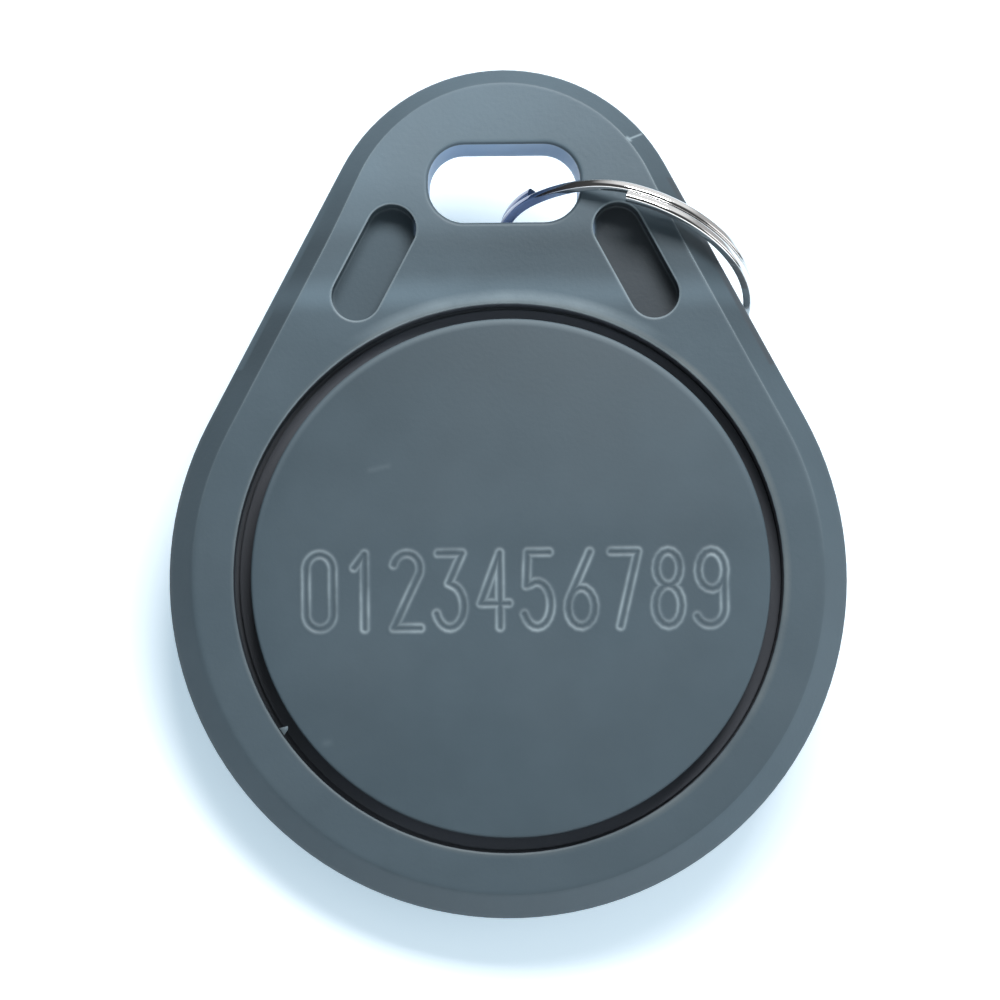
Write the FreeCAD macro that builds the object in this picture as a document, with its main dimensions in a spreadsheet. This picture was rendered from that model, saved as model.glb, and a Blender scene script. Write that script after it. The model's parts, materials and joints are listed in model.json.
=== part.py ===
# Access key fob: a one-piece teardrop housing with a slot for a split ring, a welded round
# lid over a cavity, and in the cavity a wound antenna with its chip board.
# Millimetres. Every piece is modelled in the housing's own frame: the origin is the centre of
# the round end on the flat back, +Y runs to the slotted end and +Z comes out of the front.
# At the end all pieces get one placement together, the pose in which fob and ring lie at rest.
import FreeCAD, Part
import math
import os
import Sketcher

Vector = FreeCAD.Vector

DRIVING_SIZES = {
    # housing
    "disc_radius": 16.0,
    "end_radius": 8.7,
    "end_distance": 15.57,
    "face_height": 4.0,
    "back_bevel": 0.45,
    "rim_bevel_width": 0.93,
    "rim_bevel_depth": 1.1,
    "back_wall": 0.8,
    # slot for the ring
    "slot_width": 7.24,
    "slot_height": 3.8,
    "slot_corner": 1.75,
    "slot_offset": 3.15,
    "slot_draft_angle": 1.2,
    "slot_edge_round": 0.15,
    # tab that falls away towards the slotted end
    "slope_lead": 0.6,
    "slope_angle": 2.5,
    "slope_blend": 40.0,
    # blind pockets along the two sides
    "pocket_radius": 1.18,
    "pocket_span": 3.6,
    "pocket_inset": 3.5,
    "pocket_setback": 1.64,
    "pocket_depth": 1.3,
    # lid and its seat
    "recess_radius": 12.95,
    "groove_width": 0.72,
    "lid_thickness": 1.6,
    "lid_shift": 0.1,
    "lid_edge": 0.12,
    "flange_height": 0.25,
    "flange_clearance": 0.15,
    "ledge_width": 1.05,
    # antenna winding and its two leads
    "coil_margin": 1.1,
    "coil_width": 1.5,
    "coil_tall": 1.0,
    "coil_round": 0.3,
    "lead_diameter": 0.2,
    # chip board
    "board_length": 8.0,
    "board_width": 5.0,
    "board_thickness": 0.4,
    "board_gap": 1.3,
    "pad_length": 1.6,
    "pad_width": 3.4,
    "pad_thickness": 0.06,
    "pad_margin": 0.3,
    "die_width": 1.1,
    "die_height": 0.25,
    "resin_radius": 1.7,
    "resin_height": 0.7,
    "solder_radius": 0.6,
    "solder_height": 0.38,
    "solder_film": 0.05,
    # split ring
    "ring_radius": 6.45,
    "wire_width": 0.5,
    "wire_height": 0.44,
    "wire_round": 0.13,
    "turn_gap": 0.04,
    "ring_front_end_angle": 99.5,
    "ring_jog_angle": 50.5,
    # the ring's pose: where it passes the slot, and how far it stays off the housing's side
    "ring_pass_across": 0.03,
    "ring_pass_depth": 0.3,
    "ring_slot_gap": 0.36,
    "ring_side_gap": 0.432,
    "ring_lean_angle": 63.4,
}

# grams per cubic centimetre, for the centre of mass that decides how the fob lies
DENSITIES = {
    "body_shell": 1.05,
    "lid_disc": 1.05,
    "antenna_coil": 6.0,
    "chip_board": 1.85,
    "contact_pads": 8.9,
    "chip_die": 2.3,
    "chip_resin": 1.8,
    "solder_joints": 8.5,
    "split_ring": 7.85,
}

# sizes that follow from the driving ones
SIDE_ANGLE = "asin((Sizes.disc_radius - Sizes.end_radius) / Sizes.end_distance)"
SLOT_Y = "(Sizes.end_distance + Sizes.slot_offset)"
SLOPE_START = f"({SLOT_Y} - Sizes.slot_height / 2 - Sizes.slope_lead)"
LID_RADIUS = "(Sizes.recess_radius - Sizes.groove_width)"
LEDGE_HEIGHT = "(Sizes.face_height - Sizes.lid_thickness)"
CAVITY_RADIUS = "(Sizes.recess_radius - Sizes.ledge_width)"
COIL_OUTER = f"({CAVITY_RADIUS} - Sizes.coil_margin)"
COIL_INNER = f"({COIL_OUTER} - Sizes.coil_width)"
BOARD_Y = f"({COIL_INNER} - Sizes.board_gap - Sizes.board_width / 2)"
BOARD_TOP = "(Sizes.back_wall + Sizes.board_thickness)"
PAD_TOP = f"({BOARD_TOP} + Sizes.pad_thickness)"
LEAD_LEVEL = f"({PAD_TOP} + Sizes.solder_film + Sizes.lead_diameter / 2)"
PAD_X = "(Sizes.board_length / 2 - Sizes.pad_margin - Sizes.pad_length / 2)"
RING_MIDDLE = "(Sizes.ring_radius - Sizes.wire_width / 2)"
RING_PASS_Y = f"({SLOT_Y} - Sizes.slot_height / 2 + Sizes.ring_slot_gap)"

# The ring crosses its pass depth twice, one diameter apart. The first crossing is in the slot;
# the heading puts the second one just outside the housing's side.
RING_REACH = (f"(Sizes.disc_radius + Sizes.ring_side_gap - Sizes.ring_pass_across * cos({SIDE_ANGLE})"
              f" - {RING_PASS_Y} * sin({SIDE_ANGLE}))")
RING_HEADING = f"(acos({RING_REACH} / (2 * {RING_MIDDLE})) - {SIDE_ANGLE})"

# how far a cut runs past the material, and how near an edge must be to the place it is looked for
CUT_OVERRUN = 1.0
MATCH_WITHIN = 0.01

# limits of the search for the pose at rest
STEEPEST_TILT = math.radians(40)
WIDEST_HEADING = math.radians(60)
SEARCH_STEPS = 80

doc = FreeCAD.newDocument("KeyFob")
sheet = doc.addObject("Spreadsheet::Sheet", "Sizes")
for row, (alias, value) in enumerate(DRIVING_SIZES.items(), start=1):
    sheet.set(f"A{row}", alias)
    sheet.set(f"B{row}", str(value))
    sheet.setAlias(f"B{row}", alias)
doc.recompute()


def number(expression):
    """The value of an expression on the sheet, as a plain number."""
    value = sheet.evalExpression(expression)
    return float(getattr(value, "Value", value))


# Sketch helpers

def new_sketch(body, name, role, lift=None):
    """A sketch on one of the body's own origin planes, raised by an expression."""
    sketch = body.newObject("Sketcher::SketchObject", name)
    plane = next(item for item in body.Origin.OriginFeatures if item.Role == role)
    sketch.AttachmentSupport = [(plane, "")]
    sketch.MapMode = "FlatFace"
    if lift:
        sketch.setExpression("AttachmentOffset.Base.z", lift)
    return sketch


def bind(sketch, kind, where, expression, name):
    """A dimension in the sketch that follows an expression."""
    index = sketch.addConstraint(Sketcher.Constraint(kind, *where, number(expression)))
    sketch.renameConstraint(index, name)
    sketch.setExpression(f"Constraints.{name}", expression)


def place_point(sketch, where, across, along, name):
    """Ties a point of the sketch to its distances from the sketch's origin."""
    if across == "0":
        sketch.addConstraint(Sketcher.Constraint("PointOnObject", *where, -2))
    else:
        bind(sketch, "DistanceX", (-1, 1, *where), across, f"{name}_across")
    if along == "0":
        sketch.addConstraint(Sketcher.Constraint("PointOnObject", *where, -1))
    else:
        bind(sketch, "DistanceY", (-1, 1, *where), along, f"{name}_along")


def draw_circle(sketch, across, along, radius):
    centre = Vector(number(across), number(along), 0)
    sketch.addGeometry(Part.Circle(centre, Vector(0, 0, 1), number(radius)), False)
    place_point(sketch, (0, 3), across, along, "centre")
    bind(sketch, "Radius", (0,), radius, "radius")


def draw_polygon(sketch, points):
    """A closed outline of straight lines whose corners are pairs of expressions."""
    corners = [Vector(number(across), number(along), 0) for across, along in points]
    count = len(corners)
    for index, corner in enumerate(corners):
        sketch.addGeometry(Part.LineSegment(corner, corners[(index + 1) % count]), False)
    for index in range(count):
        sketch.addConstraint(Sketcher.Constraint("Coincident", index, 2, (index + 1) % count, 1))
    for index, (across, along) in enumerate(points):
        place_point(sketch, (index, 1), across, along, f"corner{index}")


def draw_capsule(sketch, near, far):
    """Two arcs joined by tangent lines; each end is its x, y and radius as expressions."""
    near_x, near_y, near_radius = [number(value) for value in near]
    far_x, far_y, far_radius = [number(value) for value in far]
    heading = math.atan2(far_y - near_y, far_x - near_x)
    lean = math.asin((near_radius - far_radius) / math.hypot(far_x - near_x, far_y - near_y))
    right = heading - math.pi / 2 + lean
    left = heading + math.pi / 2 - lean
    up = Vector(0, 0, 1)
    near_arc = Part.ArcOfCircle(Part.Circle(Vector(near_x, near_y, 0), up, near_radius),
                                left, right + 2 * math.pi)
    far_arc = Part.ArcOfCircle(Part.Circle(Vector(far_x, far_y, 0), up, far_radius), right, left)
    sketch.addGeometry(near_arc, False)
    sketch.addGeometry(Part.LineSegment(near_arc.EndPoint, far_arc.StartPoint), False)
    sketch.addGeometry(far_arc, False)
    sketch.addGeometry(Part.LineSegment(far_arc.EndPoint, near_arc.StartPoint), False)
    for index in range(4):
        sketch.addConstraint(Sketcher.Constraint("Tangent", index, 2, (index + 1) % 4, 1))
    place_point(sketch, (0, 3), near[0], near[1], "near")
    place_point(sketch, (2, 3), far[0], far[1], "far")
    bind(sketch, "Radius", (0,), near[2], "near_radius")
    bind(sketch, "Radius", (2,), far[2], "far_radius")


def draw_rounded_box(sketch, centre, width, height, corner):
    """A rectangle with rounded corners; centre is a pair of expressions."""
    mid_x, mid_y = [number(value) for value in centre]
    half_x = number(width) / 2 - number(corner)
    half_y = number(height) / 2 - number(corner)
    radius = number(corner)
    up = Vector(0, 0, 1)
    quarter = math.pi / 2
    arcs = []
    for turn, (side_x, side_y) in enumerate(((1, 1), (-1, 1), (-1, -1), (1, -1))):
        middle = Vector(mid_x + side_x * half_x, mid_y + side_y * half_y, 0)
        arcs.append(Part.ArcOfCircle(Part.Circle(middle, up, radius),
                                     turn * quarter, (turn + 1) * quarter))
    for turn, arc in enumerate(arcs):
        sketch.addGeometry(arc, False)
        sketch.addGeometry(Part.LineSegment(arc.EndPoint, arcs[(turn + 1) % 4].StartPoint), False)
    for index in range(8):
        sketch.addConstraint(Sketcher.Constraint("Tangent", index, 2, (index + 1) % 8, 1))
    for index, direction in ((1, "Horizontal"), (3, "Vertical"),
                             (5, "Horizontal"), (7, "Vertical")):
        sketch.addConstraint(Sketcher.Constraint(direction, index))
    for index in (2, 4, 6):
        sketch.addConstraint(Sketcher.Constraint("Equal", 0, index))
    bind(sketch, "Radius", (0,), corner, "corner")
    place_point(sketch, (0, 3), f"{centre[0]} + {width} / 2 - {corner}",
                f"{centre[1]} + {height} / 2 - {corner}", "high")
    place_point(sketch, (4, 3), f"{centre[0]} - {width} / 2 + {corner}",
                f"{centre[1]} - {height} / 2 + {corner}", "low")


# Feature helpers

def new_body(label):
    body = doc.addObject("PartDesign::Body", label)
    body.Label = label
    return body


def pad(body, sketch, length):
    feature = body.newObject("PartDesign::Pad", f"{sketch.Name}_pad")
    feature.Profile = sketch
    feature.setExpression("Length", length)
    doc.recompute()
    return feature


def pocket(body, sketch, depth, upwards=False):
    feature = body.newObject("PartDesign::Pocket", f"{sketch.Name}_pocket")
    feature.Profile = sketch
    feature.Reversed = upwards
    feature.setExpression("Length", depth)
    before = feature.BaseFeature.Shape.Volume
    doc.recompute()
    assert feature.Shape.Volume < before, f"{feature.Name} cuts nothing"
    return feature


def turn_full(body, sketch, axis):
    feature = body.newObject("PartDesign::Revolution", f"{sketch.Name}_turned")
    feature.Profile = sketch
    feature.ReferenceAxis = (sketch, [axis])
    feature.Angle = 360.0
    doc.recompute()
    return feature


def edge_names(feature, test):
    return [f"Edge{index}" for index, edge in enumerate(feature.Shape.Edges, start=1)
            if test(edge)]


def dress(body, kind, name, base, edges, sizes):
    """A chamfer or fillet on edges of the base feature."""
    feature = body.newObject(f"PartDesign::{kind}", name)
    feature.Base = (base, edges)
    if "Size2" in sizes:
        feature.ChamferType = "Two distances"
    for key, expression in sizes.items():
        feature.setExpression(key, expression)
    doc.recompute()
    return feature


# Housing

def draw_fall(sketch):
    """What is cut off the tab's front: an arc leads from the level face into the slope."""
    angle = "(Sizes.slope_angle * 1 deg)"
    tangent = f"(Sizes.slope_blend * tan({angle} / 2))"
    start_y = f"({SLOPE_START} - {tangent})"
    bend_y = f"({start_y} + Sizes.slope_blend * sin({angle}))"
    bend_z = f"(Sizes.face_height - Sizes.slope_blend * (1 - cos({angle})))"
    far_y = f"(Sizes.end_distance + Sizes.end_radius + {CUT_OVERRUN})"
    far_z = f"(Sizes.face_height - ({far_y} - {SLOPE_START}) * tan({angle}))"
    high_z = f"(Sizes.face_height + {CUT_OVERRUN})"
    corners = [(bend_y, bend_z), (far_y, far_z), (far_y, high_z), (start_y, high_z),
               (start_y, "Sizes.face_height")]
    points = [Vector(number(across), number(along), 0) for across, along in corners]
    centre = Vector(points[4].x, points[4].y - number("Sizes.slope_blend"), 0)
    lean = math.radians(number("Sizes.slope_angle"))
    circle = Part.Circle(centre, Vector(0, 0, 1), number("Sizes.slope_blend"))
    for start, end in zip(points, points[1:]):
        sketch.addGeometry(Part.LineSegment(start, end), False)
    sketch.addGeometry(Part.ArcOfCircle(circle, math.pi / 2 - lean, math.pi / 2), False)
    for index in range(3):
        sketch.addConstraint(Sketcher.Constraint("Coincident", index, 2, index + 1, 1))
    sketch.addConstraint(Sketcher.Constraint("Coincident", 3, 2, 4, 2))
    sketch.addConstraint(Sketcher.Constraint("Coincident", 4, 1, 0, 1))
    bind(sketch, "Radius", (4,), "Sizes.slope_blend", "blend")
    for index, (across, along) in enumerate(corners[1:4], start=1):
        place_point(sketch, (index, 1), across, along, f"corner{index}")
    place_point(sketch, (4, 3), start_y, "Sizes.face_height - Sizes.slope_blend", "centre")
    bind(sketch, "DistanceX", (-1, 1, 4, 2), start_y, "level_end")
    bind(sketch, "DistanceX", (-1, 1, 4, 1), bend_y, "slope_begin")


def make_body_shell():
    body = new_body("body_shell")
    tall = number("Sizes.face_height")

    outline = new_sketch(body, "outline", "XY_Plane")
    draw_capsule(outline, ("0", "0", "Sizes.disc_radius"),
                 ("0", "Sizes.end_distance", "Sizes.end_radius"))
    block = pad(body, outline, "Sizes.face_height")

    # The rim of the front has a steep bevel, the rim of the back a small one.
    def is_front_rim(edge):
        return edge.BoundBox.ZMin > tall - MATCH_WITHIN
    bevelled = dress(body, "Chamfer", "rim_bevel", block, edge_names(block, is_front_rim),
                     {"Size": "Sizes.rim_bevel_width", "Size2": "Sizes.rim_bevel_depth"})

    def is_back_rim(edge):
        return edge.BoundBox.ZMax < MATCH_WITHIN
    eased = dress(body, "Chamfer", "back_rim", bevelled, edge_names(bevelled, is_back_rim),
                  {"Size": "Sizes.back_bevel"})

    # The front of the tab falls away from a line just below the slot.
    fall = new_sketch(body, "fall", "YZ_Plane")
    draw_fall(fall)
    sloped = body.newObject("PartDesign::Pocket", "fall_pocket")
    sloped.Profile = fall
    sloped.Type = "ThroughAll"
    sloped.SideType = "Symmetric"
    doc.recompute()
    assert sloped.Shape.Volume < eased.Shape.Volume, "the tab's slope cuts nothing"

    # The slot narrows from the front to the back.
    slot = new_sketch(body, "slot", "XY_Plane", "Sizes.face_height")
    draw_rounded_box(slot, ("0", SLOT_Y), "Sizes.slot_width", "Sizes.slot_height",
                     "Sizes.slot_corner")
    slotted = pocket(body, slot, f"Sizes.face_height + {CUT_OVERRUN}")
    slotted.setExpression("TaperAngle", "-Sizes.slot_draft_angle")
    doc.recompute()

    slot_y = number(SLOT_Y)
    slot_reach_x = number("Sizes.slot_width") / 2 + MATCH_WITHIN
    slot_reach_y = number("Sizes.slot_height") / 2 + MATCH_WITHIN

    def in_slot(edge):
        middle = edge.CenterOfMass
        return abs(middle.x) < slot_reach_x and abs(middle.y - slot_y) < slot_reach_y

    def is_slot_back(edge):
        return in_slot(edge) and edge.BoundBox.ZMax < MATCH_WITHIN
    opened = dress(body, "Chamfer", "slot_back_bevel", slotted, edge_names(slotted, is_slot_back),
                   {"Size": "Sizes.back_bevel"})

    # Blind pockets parallel to the two sides.
    hollow = new_sketch(body, "hollow", "XY_Plane", "Sizes.face_height")
    inner = "(Sizes.end_radius - Sizes.pocket_inset)"
    high_x = f"({inner} * cos({SIDE_ANGLE}) + Sizes.pocket_setback * sin({SIDE_ANGLE}))"
    high_y = (f"(Sizes.end_distance + {inner} * sin({SIDE_ANGLE})"
              f" - Sizes.pocket_setback * cos({SIDE_ANGLE}))")
    low_x = f"({high_x} + Sizes.pocket_span * sin({SIDE_ANGLE}))"
    low_y = f"({high_y} - Sizes.pocket_span * cos({SIDE_ANGLE}))"
    draw_capsule(hollow, (low_x, low_y, "Sizes.pocket_radius"),
                 (high_x, high_y, "Sizes.pocket_radius"))
    right_pocket = pocket(body, hollow, "Sizes.pocket_depth")
    both = body.newObject("PartDesign::Mirrored", "pocket_pair")
    both.Originals = [right_pocket]
    mirror = next(item for item in body.Origin.OriginFeatures if item.Role == "YZ_Plane")
    both.MirrorPlane = (mirror, [""])
    body.Tip = both
    doc.recompute()
    assert both.Shape.Volume < right_pocket.Shape.Volume, "the second pocket is missing"

    # The lid's recess, and the cavity below its ledge.
    recess = new_sketch(body, "recess", "XY_Plane", "Sizes.face_height")
    draw_circle(recess, "0", "0", "Sizes.recess_radius")
    pocket(body, recess, "Sizes.lid_thickness")
    cavity = new_sketch(body, "cavity", "XY_Plane", LEDGE_HEIGHT)
    draw_circle(cavity, "0", "0", CAVITY_RADIUS)
    hollowed = pocket(body, cavity, f"{LEDGE_HEIGHT} - Sizes.back_wall")

    def is_slot_front(edge):
        return in_slot(edge) and edge.BoundBox.ZMin > tall / 2
    dress(body, "Fillet", "slot_front_round", hollowed, edge_names(hollowed, is_slot_front),
          {"Radius": "Sizes.slot_edge_round"})
    assert opened.Shape.Volume < slotted.Shape.Volume, "the slot's back bevel cuts nothing"
    assert eased.Shape.Volume < bevelled.Shape.Volume, "the back rim's bevel cuts nothing"
    assert bevelled.Shape.Volume < block.Shape.Volume, "the front rim's bevel cuts nothing"
    return body


# Lid

def make_lid_disc():
    """The cap: a top disc, and below it the wider flange that is welded to the ledge."""
    body = new_body("lid_disc")
    section = new_sketch(body, "lid_section", "XZ_Plane")
    flange_radius = "(Sizes.recess_radius - Sizes.flange_clearance)"
    shoulder = f"({LEDGE_HEIGHT} + Sizes.flange_height)"
    draw_polygon(section, (("0", LEDGE_HEIGHT),
                           (flange_radius, LEDGE_HEIGHT),
                           (flange_radius, shoulder),
                           (LID_RADIUS, shoulder),
                           (LID_RADIUS, "Sizes.face_height - Sizes.lid_edge"),
                           (f"{LID_RADIUS} - Sizes.lid_edge", "Sizes.face_height"),
                           ("0", "Sizes.face_height")))
    turn_full(body, section, "V_Axis")
    body.setExpression("Placement.Base.x", "Sizes.lid_shift")
    return body


# Antenna

def make_antenna_coil():
    """The wound ring of enamelled wire with its two straight leads to the board."""
    winding = doc.addObject("PartDesign::Body", "winding")
    section = new_sketch(winding, "winding_section", "XZ_Plane")
    draw_rounded_box(section, (f"({COIL_OUTER} - Sizes.coil_width / 2)",
                               "(Sizes.back_wall + Sizes.coil_tall / 2)"),
                     "Sizes.coil_width", "Sizes.coil_tall", "Sizes.coil_round")
    turn_full(winding, section, "V_Axis")
    leads = []
    for side, name in ((1, "right_lead"), (-1, "left_lead")):
        lead = doc.addObject("Part::Cylinder", name)
        lead.setExpression("Radius", "Sizes.lead_diameter / 2")
        lead.setExpression("Height", f"sqrt(pow({COIL_OUTER} - Sizes.coil_width / 2; 2)"
                                     f" - pow({PAD_X}; 2)) - {BOARD_Y}")
        lead.setExpression("Placement.Base.x", f"{side} * {PAD_X}")
        lead.setExpression("Placement.Base.y", BOARD_Y)
        lead.setExpression("Placement.Base.z", LEAD_LEVEL)
        lead.Placement.Rotation = FreeCAD.Rotation(Vector(1, 0, 0), -90)
        leads.append(lead)
    coil = doc.addObject("Part::MultiFuse", "antenna_coil")
    coil.Label = "antenna_coil"
    coil.Shapes = [winding] + leads
    doc.recompute()
    return coil


# Chip board

def make_block(label, length, width, height, corner):
    """A box whose lowest corner is given by three expressions."""
    block = doc.addObject("Part::Box", label)
    block.setExpression("Length", length)
    block.setExpression("Width", width)
    block.setExpression("Height", height)
    for axis, expression in zip("xyz", corner):
        block.setExpression(f"Placement.Base.{axis}", expression)
    return block


def make_chip_board():
    return make_block("chip_board", "Sizes.board_length", "Sizes.board_width",
                      "Sizes.board_thickness",
                      ("-Sizes.board_length / 2", f"{BOARD_Y} - Sizes.board_width / 2",
                       "Sizes.back_wall"))


def make_contact_pads():
    pads = []
    for side, name in ((1, "right_pad"), (-1, "left_pad")):
        pads.append(make_block(name, "Sizes.pad_length", "Sizes.pad_width", "Sizes.pad_thickness",
                               (f"{side} * {PAD_X} - Sizes.pad_length / 2",
                                f"{BOARD_Y} - Sizes.pad_width / 2", BOARD_TOP)))
    pair = doc.addObject("Part::Compound", "contact_pads")
    pair.Links = pads
    return pair


def make_chip_die():
    return make_block("chip_die", "Sizes.die_width", "Sizes.die_width", "Sizes.die_height",
                      ("-Sizes.die_width / 2", f"{BOARD_Y} - Sizes.die_width / 2", BOARD_TOP))


def make_dome(name, radius, height, base):
    """A spherical cap whose flat side is centred on a point given by three expressions."""
    ball = f"((pow({radius}; 2) + pow({height}; 2)) / (2 * {height}))"
    dome = doc.addObject("Part::Sphere", name)
    dome.setExpression("Radius", ball)
    dome.setExpression("Angle1", f"asin(({ball} - {height}) / {ball})")
    dome.Angle2 = 90
    for axis, expression in zip("xyz", base):
        drop = f" - ({ball} - {height})" if axis == "z" else ""
        dome.setExpression(f"Placement.Base.{axis}", f"{expression}{drop}")
    return dome


def make_chip_resin(die):
    dome = make_dome("resin_dome", "Sizes.resin_radius", "Sizes.resin_height",
                     ("0", BOARD_Y, BOARD_TOP))
    resin = doc.addObject("Part::Cut", "chip_resin")
    resin.Base = dome
    resin.Tool = die
    return resin


def make_solder_joints(coil):
    domes = []
    for side, name in ((1, "right_solder"), (-1, "left_solder")):
        domes.append(make_dome(name, "Sizes.solder_radius", "Sizes.solder_height",
                               (f"{side} * {PAD_X}", BOARD_Y, PAD_TOP)))
    pair = doc.addObject("Part::Compound", "solder_domes")
    pair.Links = domes
    joints = doc.addObject("Part::Cut", "solder_joints")
    joints.Base = pair
    joints.Tool = coil
    return joints


# Split ring

def ring_frame():
    """Where the ring sits: it runs through the slot and round the housing's right side."""
    heading = math.radians(number(RING_HEADING))
    lean = math.radians(number("Sizes.ring_lean_angle"))
    chord = Vector(math.cos(heading), -math.sin(heading), 0)
    uphill = Vector(math.sin(heading) * math.cos(lean), math.cos(heading) * math.cos(lean),
                    math.sin(lean))
    axis = chord.cross(uphill)
    in_slot = Vector(number("Sizes.ring_pass_across"), number(RING_PASS_Y),
                     -number("Sizes.ring_pass_depth"))
    centre = in_slot + chord * number(RING_MIDDLE)
    return centre, chord, uphill, axis


def wire_section(inner, low, width, height, rounding):
    """The closed outline of the wire, cut by the plane of X and Z."""
    outer = inner + width
    high = low + height
    bulge = rounding * (1 - math.sqrt(0.5))
    corners = ((outer, high, -1, -1), (inner, high, 1, -1), (inner, low, 1, 1), (outer, low, -1, 1))
    edges = []
    last = None
    for index, (x, z, to_x, to_z) in enumerate(corners):
        beside = Vector(x, 0, z + to_z * rounding)
        above = Vector(x + to_x * rounding, 0, z)
        start, end = (beside, above) if index % 2 == 0 else (above, beside)
        middle = Vector(x + to_x * bulge, 0, z + to_z * bulge)
        if last:
            edges.append(Part.makeLine(last, start))
        edges.append(Part.Arc(start, middle, end).toShape())
        last = end
    edges.append(Part.makeLine(last, edges[0].Vertexes[0].Point))
    return Part.Wire(edges)


def make_split_ring():
    """Two turns of wire side by side, joined by a short crossing; the ends are cut square."""
    centre, chord, uphill, axis = ring_frame()
    origin = Vector(0, 0, 0)
    up = Vector(0, 0, 1)
    outer = number("Sizes.ring_radius")
    width = number("Sizes.wire_width")
    height = number("Sizes.wire_height")
    half_gap = number("Sizes.turn_gap") / 2
    rounding = number("Sizes.wire_round")
    front_end = number("Sizes.ring_front_end_angle")
    jog = number("Sizes.ring_jog_angle")
    level = half_gap + height / 2
    middle = number(RING_MIDDLE)

    def turn(low):
        section = wire_section(outer - width, low, width, height, rounding)
        section.rotate(origin, up, front_end)
        return Part.Face(section).revolve(origin, up, jog - 360)

    def crossing_point(share):
        angle = math.radians(front_end + jog * (1 - share))
        rise = level * math.cos(math.pi * share)
        return Vector(middle * math.cos(angle), middle * math.sin(angle), rise)

    steps = 8
    points = [crossing_point(step / steps) for step in range(steps + 1)]
    first = math.radians(front_end + jog)
    last = math.radians(front_end)
    curve = Part.BSplineCurve()
    curve.interpolate(Points=points,
                      InitialTangent=Vector(math.sin(first), -math.cos(first), 0),
                      FinalTangent=Vector(math.sin(last), -math.cos(last), 0))
    pipe = Part.BRepOffsetAPI.MakePipeShell(Part.Wire([curve.toShape()]))
    pipe.setBiNormalMode(up)
    section = wire_section(outer - width, half_gap, width, height, rounding)
    section.rotate(origin, up, front_end + jog)
    pipe.add(section)
    pipe.build()
    pipe.makeSolid()
    front = turn(half_gap)
    back = turn(-half_gap - height)
    solid = front.fuse([pipe.shape(), back]).removeSplitter().Solids[0]

    ring = doc.addObject("Part::Feature", "split_ring")
    ring.Shape = solid
    pose = FreeCAD.Matrix(chord.x, uphill.x, axis.x, centre.x,
                          chord.y, uphill.y, axis.y, centre.y,
                          chord.z, uphill.z, axis.z, centre.z,
                          0, 0, 0, 1)
    ring.Placement = FreeCAD.Placement(pose)
    return ring


# Pose at rest

def centre_of_mass(pieces):
    total = 0
    moment = Vector(0, 0, 0)
    for piece in pieces:
        for solid in piece.Shape.Solids:
            mass = solid.Volume * DENSITIES[piece.Label]
            total += mass
            moment += solid.CenterOfMass * mass
    return moment / total


def find_rest(pieces):
    """The placement in which the fob lies on its back rim and on the lowest point of the ring.

    For a direction towards the floor, each reach function gives how far the piece extends that
    way. The fob is tilted until both reach the floor, and of all headings the one is kept that
    has the centre of mass lowest.
    """
    centre, _, _, axis = ring_frame()
    mass_centre = centre_of_mass(pieces)
    rim = number("Sizes.disc_radius") - number("Sizes.back_bevel")
    rounding = number("Sizes.wire_round")
    ring_reach = number("Sizes.ring_radius") - rounding
    ring_half = number("Sizes.turn_gap") / 2 + number("Sizes.wire_height") - rounding

    def down_at(tilt, heading):
        return Vector(-math.sin(tilt) * math.sin(heading), -math.sin(tilt) * math.cos(heading),
                      -math.cos(tilt))

    def rim_reach(down):
        return rim * math.hypot(down.x, down.y)

    def ring_reach_to(down):
        along = down.dot(axis)
        return (down.dot(centre) + ring_reach * math.sqrt(1 - along * along)
                + ring_half * abs(along) + rounding)

    def tilt_for(heading):
        low, high = 0.0, STEEPEST_TILT
        for _ in range(SEARCH_STEPS):
            tilt = (low + high) / 2
            down = down_at(tilt, heading)
            if ring_reach_to(down) > rim_reach(down):
                low = tilt
            else:
                high = tilt
        return (low + high) / 2

    def mass_height(heading):
        down = down_at(tilt_for(heading), heading)
        return rim_reach(down) - down.dot(mass_centre)

    low, high = -WIDEST_HEADING, WIDEST_HEADING
    for _ in range(SEARCH_STEPS):
        first = low + (high - low) / 3
        second = high - (high - low) / 3
        if mass_height(first) < mass_height(second):
            high = second
        else:
            low = first
    heading = (low + high) / 2
    tilt = tilt_for(heading)
    up = down_at(tilt, heading) * -1
    ahead = Vector(0, 1, 0) - up * up.y
    ahead.normalize()
    right = ahead.cross(up)
    turned = FreeCAD.Placement(FreeCAD.Matrix(right.x, right.y, right.z, 0,
                                              ahead.x, ahead.y, ahead.z, 0,
                                              up.x, up.y, up.z, 0,
                                              0, 0, 0, 1))
    print(f"rest: tilt {math.degrees(tilt):.2f} degrees, heading {math.degrees(heading):.2f}")
    box = FreeCAD.BoundBox()
    for piece in pieces:
        shape = piece.Shape.copy()
        shape.Placement = turned * shape.Placement
        box.add(shape.optimalBoundingBox(False))
    turned.Base = Vector(-box.Center.x, -box.Center.y, -box.ZMin)
    return turned


body_shell = make_body_shell()
lid_disc = make_lid_disc()
antenna_coil = make_antenna_coil()
chip_board = make_chip_board()
contact_pads = make_contact_pads()
chip_die = make_chip_die()
chip_resin = make_chip_resin(chip_die)
solder_joints = make_solder_joints(antenna_coil)
split_ring = make_split_ring()
doc.recompute()

pieces = [body_shell, lid_disc, antenna_coil, chip_board, contact_pads, chip_die, chip_resin,
          solder_joints, split_ring]
for piece in pieces:
    piece.Label = piece.Name
rest = find_rest(pieces)
print("rest placement", rest)

for item in doc.Objects:
    assert not {"Invalid", "Error"} & set(item.State), f"{item.Name} failed: {item.State}"

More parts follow.
